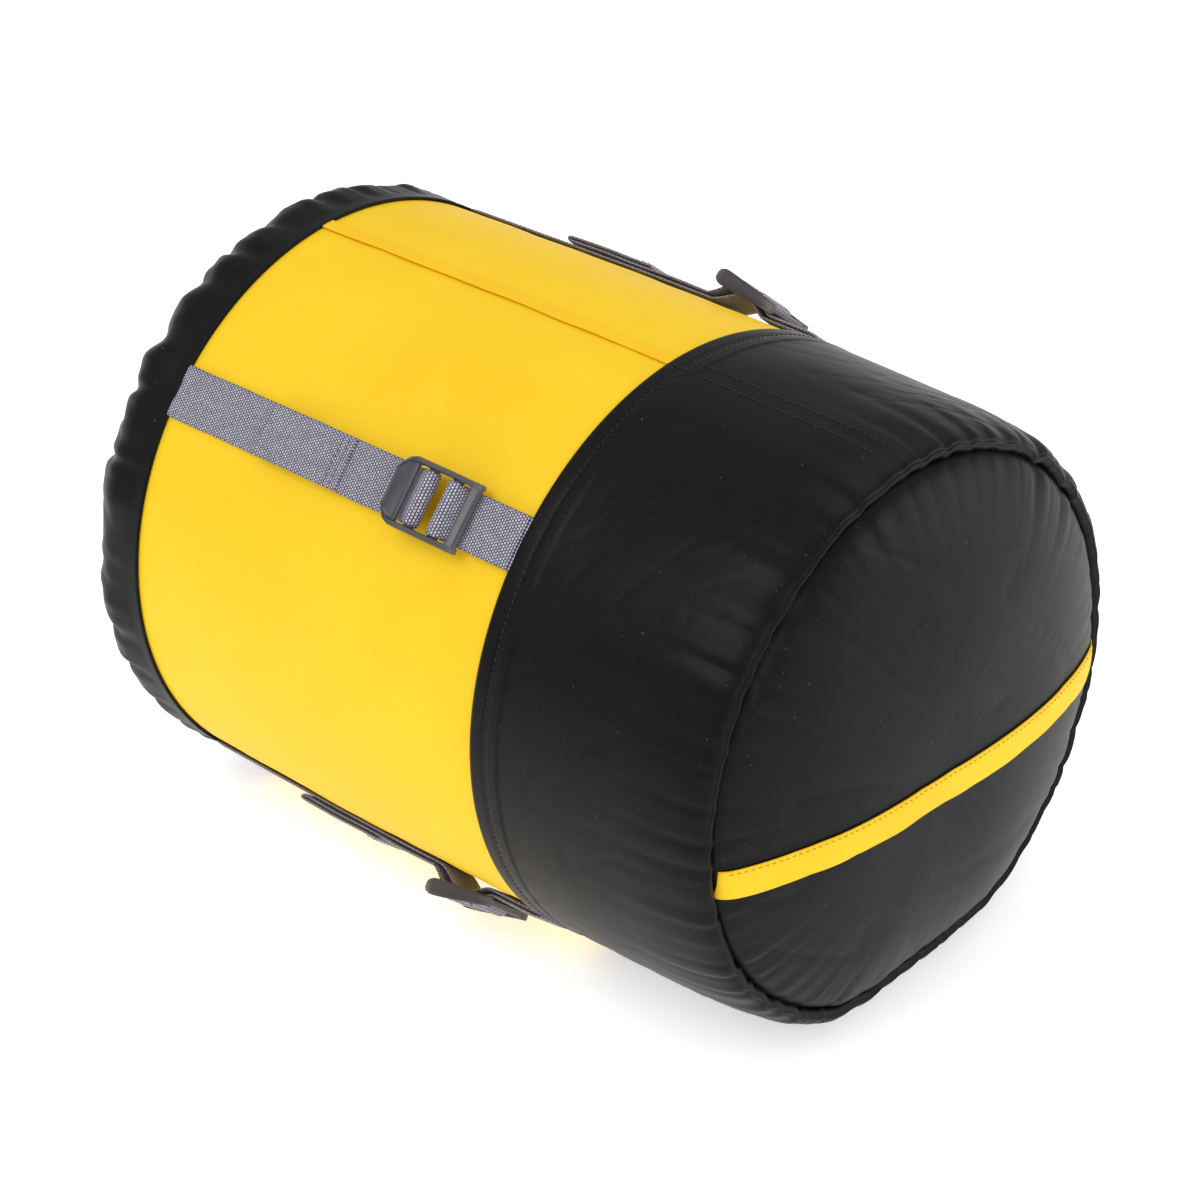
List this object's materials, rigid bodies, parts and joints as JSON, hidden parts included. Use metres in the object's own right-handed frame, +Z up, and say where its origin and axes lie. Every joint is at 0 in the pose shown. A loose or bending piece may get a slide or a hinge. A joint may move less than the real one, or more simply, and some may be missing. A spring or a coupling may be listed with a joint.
{
  "type": "compression sack",
  "caption": "Cylindrical fabric sack with a gathered drawcord mouth, a sewn base panel and lengthwise compression straps through ladder locks.",
  "frame": {"origin": "centre of the bounding box, on the ground that the sack lies on", "axes": "+X along the sack from the gathered mouth to the base panel, +Z up"},
  "size_m": [0.3365, 0.2262, 0.2172],
  "materials": {
    "tube_fabric": "smooth coated nylon taffeta",
    "base_fabric": "black coated nylon taffeta",
    "webbing": "grey ribbed webbing",
    "cord": "braided cord",
    "ladder_lock": "satin moulded acetal",
    "cord_lock": "satin moulded acetal",
    "cord_lock_spring": "spring wire"
  },
  "bodies": {
    "sack": {"body_tube": "tube_fabric", "side_seam": "tube_fabric", "base_sleeve": "base_fabric", "base_panel_upper": "base_fabric", "base_panel_lower": "base_fabric", "base_stripe": "tube_fabric", "anchor_loop_1": "webbing", "anchor_loop_2": "webbing", "anchor_loop_3": "webbing", "anchor_loop_4": "webbing", "strap_run_1": "webbing", "strap_run_2": "webbing", "strap_run_3": "webbing", "strap_run_4": "webbing"},
    "mouth": {"collar": "base_fabric", "drawcord": "cord", "cord_knot": "cord", "cord_lock_barrel": "cord_lock", "cord_lock_spring": "cord_lock_spring"},
    "lock_button": {"cord_lock_button": "cord_lock"},
    "buckle_1": {"ladder_lock_1": "ladder_lock", "strap_wrap_1": "webbing"},
    "strap_end_1": {"strap_tail_1": "webbing"},
    "buckle_2": {"ladder_lock_2": "ladder_lock", "strap_wrap_2": "webbing"},
    "strap_end_2": {"strap_tail_2": "webbing"},
    "buckle_3": {"ladder_lock_3": "ladder_lock", "strap_wrap_3": "webbing"},
    "strap_end_3": {"strap_tail_3": "webbing"},
    "buckle_4": {"ladder_lock_4": "ladder_lock", "strap_wrap_4": "webbing"},
    "strap_end_4": {"strap_tail_4": "webbing"}
  },
  "joints": [
    {"name": "compression", "type": "slide", "parent": "sack", "child": "mouth", "axis": [1, 0, 0], "range_m": [0, 0.09], "deforming": ["body_tube", "side_seam", "strap_run_1", "strap_run_2", "strap_run_3", "strap_run_4"]},
    {"name": "cord_release", "type": "slide", "parent": "mouth", "child": "lock_button", "axis": [0, -1, 0], "range_m": [0, 0.004], "stiffness_N_per_m": 400, "springref_m": -0.003, "deforming": ["cord_lock_spring"]},
    {"name": "buckle_tilt_1", "type": "hinge", "parent": "sack", "child": "buckle_1", "pos_m": [0.02062, 0.08384, 0.18784], "axis": [0, 0.7071, -0.7071], "range_deg": [0, 18], "deforming": ["anchor_loop_1"]},
    {"name": "buckle_tilt_2", "type": "hinge", "parent": "sack", "child": "buckle_2", "pos_m": [0.02062, -0.08384, 0.18784], "axis": [0, 0.7071, 0.7071], "range_deg": [0, 18], "deforming": ["anchor_loop_2"]},
    {"name": "buckle_tilt_3", "type": "hinge", "parent": "sack", "child": "buckle_3", "pos_m": [0.02062, -0.08384, 0.02016], "axis": [0, -0.7071, 0.7071], "range_deg": [0, 18], "deforming": ["anchor_loop_3"]},
    {"name": "buckle_tilt_4", "type": "hinge", "parent": "sack", "child": "buckle_4", "pos_m": [0.02062, 0.08384, 0.02016], "axis": [0, -0.7071, -0.7071], "range_deg": [0, 18], "deforming": ["anchor_loop_4"]},
    {"name": "strap_pull_1", "type": "slide", "parent": "sack", "child": "strap_end_1", "axis": [-1, 0, 0], "range_m": [0, 0.09]},
    {"name": "strap_pull_2", "type": "slide", "parent": "sack", "child": "strap_end_2", "axis": [-1, 0, 0], "range_m": [0, 0.09]},
    {"name": "strap_pull_3", "type": "slide", "parent": "sack", "child": "strap_end_3", "axis": [-1, 0, 0], "range_m": [0, 0.09]},
    {"name": "strap_pull_4", "type": "slide", "parent": "sack", "child": "strap_end_4", "axis": [-1, 0, 0], "range_m": [0, 0.09]}
  ],
  "couplings": [
    {"joint": "strap_pull_1", "follows": "compression", "ratio": 1},
    {"joint": "strap_pull_2", "follows": "compression", "ratio": 1},
    {"joint": "strap_pull_3", "follows": "compression", "ratio": 1},
    {"joint": "strap_pull_4", "follows": "compression", "ratio": 1}
  ]
}
